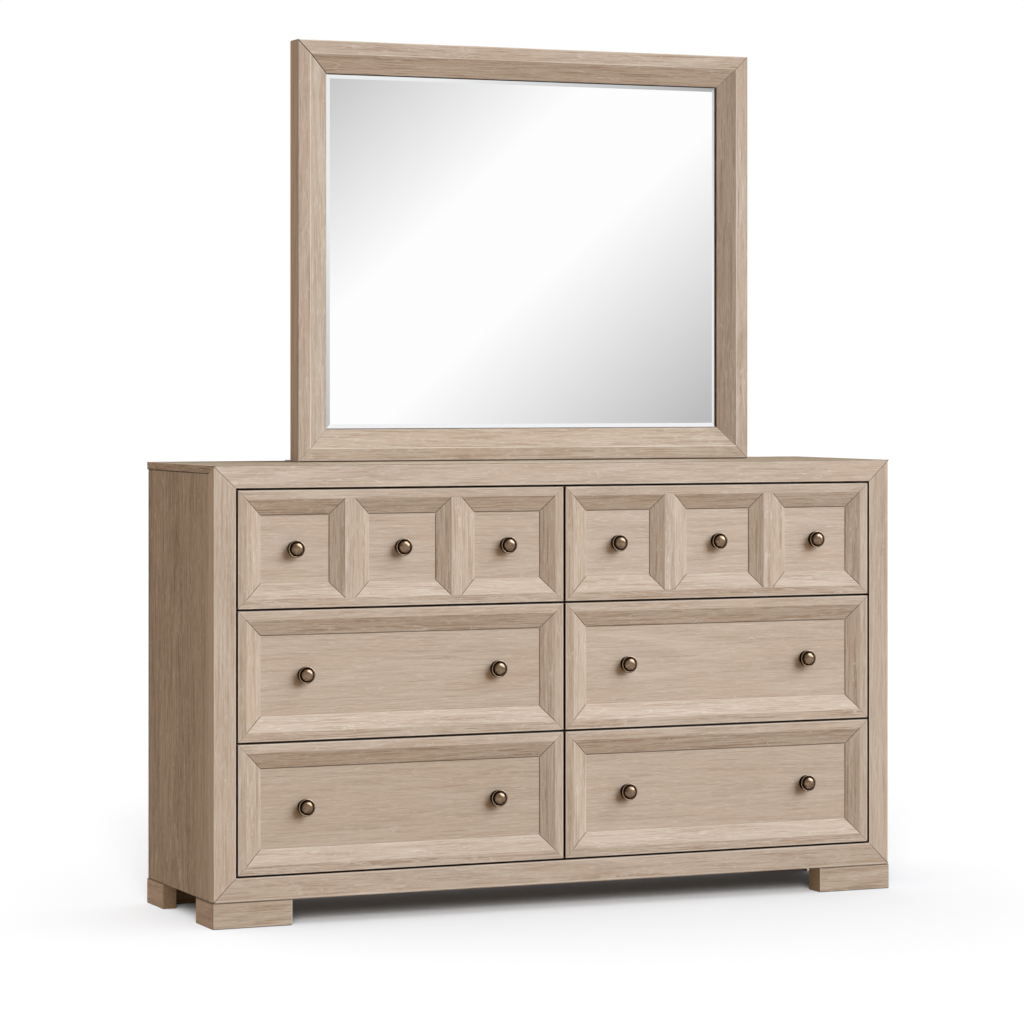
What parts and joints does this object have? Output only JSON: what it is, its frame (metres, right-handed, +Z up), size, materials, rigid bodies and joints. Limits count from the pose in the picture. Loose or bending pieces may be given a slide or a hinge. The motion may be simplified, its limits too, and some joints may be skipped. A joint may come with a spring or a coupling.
{
  "type": "dresser with mirror",
  "caption": "Wide dresser with two columns of inset drawers in a mitred face frame, bracket feet, round knobs and a framed mirror standing on the top.",
  "frame": {"origin": "on the floor at the middle of the object's footprint, knobs included", "axes": "+Z up, +Y from the drawer fronts to the back, +X to the right as seen from the front"},
  "size_m": [1.645, 0.468, 1.9353],
  "materials": {
    "oak_finish": "washed open-grain wood veneer, matt",
    "inner_wood": "plain sealed solid wood",
    "sheet_board": "thin plain board",
    "aged_brass": "dark antiqued, rubbed bright on the high spots",
    "silvered_glass": "bevelled and silvered",
    "bracket_steel": "zinc plated"
  },
  "bodies": {
    "case": {"top_panel": "oak_finish", "side_panel_left": "oak_finish", "side_panel_right": "oak_finish", "back_panel": "sheet_board", "bottom_panel": "inner_wood", "center_partition": "inner_wood", "face_stile_left": "oak_finish", "face_stile_right": "oak_finish", "face_rail_top": "oak_finish", "face_rail_bottom": "oak_finish", "web_frame_upper_left": "inner_wood", "web_frame_upper_right": "inner_wood", "web_frame_lower_left": "inner_wood", "web_frame_lower_right": "inner_wood", "foot_front_left": "oak_finish", "foot_front_right": "oak_finish", "foot_rear_left": "oak_finish", "foot_rear_right": "oak_finish", "mirror_stile_left": "oak_finish", "mirror_stile_right": "oak_finish", "mirror_rail_top": "oak_finish", "mirror_rail_bottom": "oak_finish", "mirror_glass": "silvered_glass", "mirror_backing": "sheet_board", "mirror_bracket_left": "bracket_steel", "mirror_bracket_right": "bracket_steel"},
    "drawer_left_1": {"drawer_left_1_front": "oak_finish", "drawer_left_1_box": "inner_wood", "drawer_left_1_bottom": "sheet_board", "drawer_left_1_knob_1": "aged_brass", "drawer_left_1_knob_2": "aged_brass", "drawer_left_1_knob_3": "aged_brass"},
    "drawer_left_2": {"drawer_left_2_front": "oak_finish", "drawer_left_2_box": "inner_wood", "drawer_left_2_bottom": "sheet_board", "drawer_left_2_knob_1": "aged_brass", "drawer_left_2_knob_2": "aged_brass"},
    "drawer_left_3": {"drawer_left_3_front": "oak_finish", "drawer_left_3_box": "inner_wood", "drawer_left_3_bottom": "sheet_board", "drawer_left_3_knob_1": "aged_brass", "drawer_left_3_knob_2": "aged_brass"},
    "drawer_right_1": {"drawer_right_1_front": "oak_finish", "drawer_right_1_box": "inner_wood", "drawer_right_1_bottom": "sheet_board", "drawer_right_1_knob_1": "aged_brass", "drawer_right_1_knob_2": "aged_brass", "drawer_right_1_knob_3": "aged_brass"},
    "drawer_right_2": {"drawer_right_2_front": "oak_finish", "drawer_right_2_box": "inner_wood", "drawer_right_2_bottom": "sheet_board", "drawer_right_2_knob_1": "aged_brass", "drawer_right_2_knob_2": "aged_brass"},
    "drawer_right_3": {"drawer_right_3_front": "oak_finish", "drawer_right_3_box": "inner_wood", "drawer_right_3_bottom": "sheet_board", "drawer_right_3_knob_1": "aged_brass", "drawer_right_3_knob_2": "aged_brass"}
  },
  "joints": [
    {"name": "drawer_left_1_slide", "type": "slide", "parent": "case", "child": "drawer_left_1", "axis": [0, -1, 0], "range_m": [0, 0.3]},
    {"name": "drawer_left_2_slide", "type": "slide", "parent": "case", "child": "drawer_left_2", "axis": [0, -1, 0], "range_m": [0, 0.3]},
    {"name": "drawer_left_3_slide", "type": "slide", "parent": "case", "child": "drawer_left_3", "axis": [0, -1, 0], "range_m": [0, 0.3]},
    {"name": "drawer_right_1_slide", "type": "slide", "parent": "case", "child": "drawer_right_1", "axis": [0, -1, 0], "range_m": [0, 0.3]},
    {"name": "drawer_right_2_slide", "type": "slide", "parent": "case", "child": "drawer_right_2", "axis": [0, -1, 0], "range_m": [0, 0.3]},
    {"name": "drawer_right_3_slide", "type": "slide", "parent": "case", "child": "drawer_right_3", "axis": [0, -1, 0], "range_m": [0, 0.3]}
  ]
}
